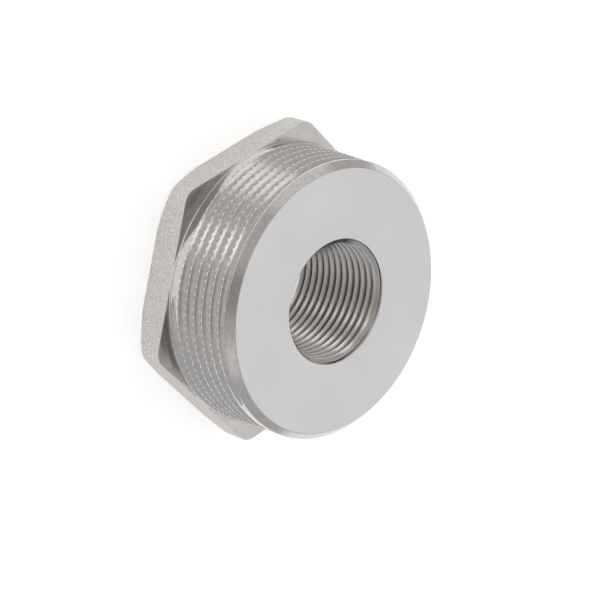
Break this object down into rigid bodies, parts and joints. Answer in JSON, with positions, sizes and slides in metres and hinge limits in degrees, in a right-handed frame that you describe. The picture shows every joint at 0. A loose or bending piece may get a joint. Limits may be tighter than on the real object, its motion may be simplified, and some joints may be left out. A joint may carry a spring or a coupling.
{
  "type": "hex reducing bushing",
  "caption": "Hexagon reducing bushing for pipework, with a tapered male thread outside, spanner flats on its head and a bore for a female thread, left plain in the solid.",
  "frame": {"origin": "centre of the back face of the hexagon, on the axis of the bore", "axes": "+Z along the bore from the hexagon to the end of the male thread, +X square to a spanner flat"},
  "size_m": [0.06, 0.0682, 0.0244],
  "materials": {
    "stainless_steel": "fine cast skin on the flats, turned and satin elsewhere"
  },
  "bodies": {
    "root": {"hex_bushing": "stainless_steel"}
  },
  "joints": []
}
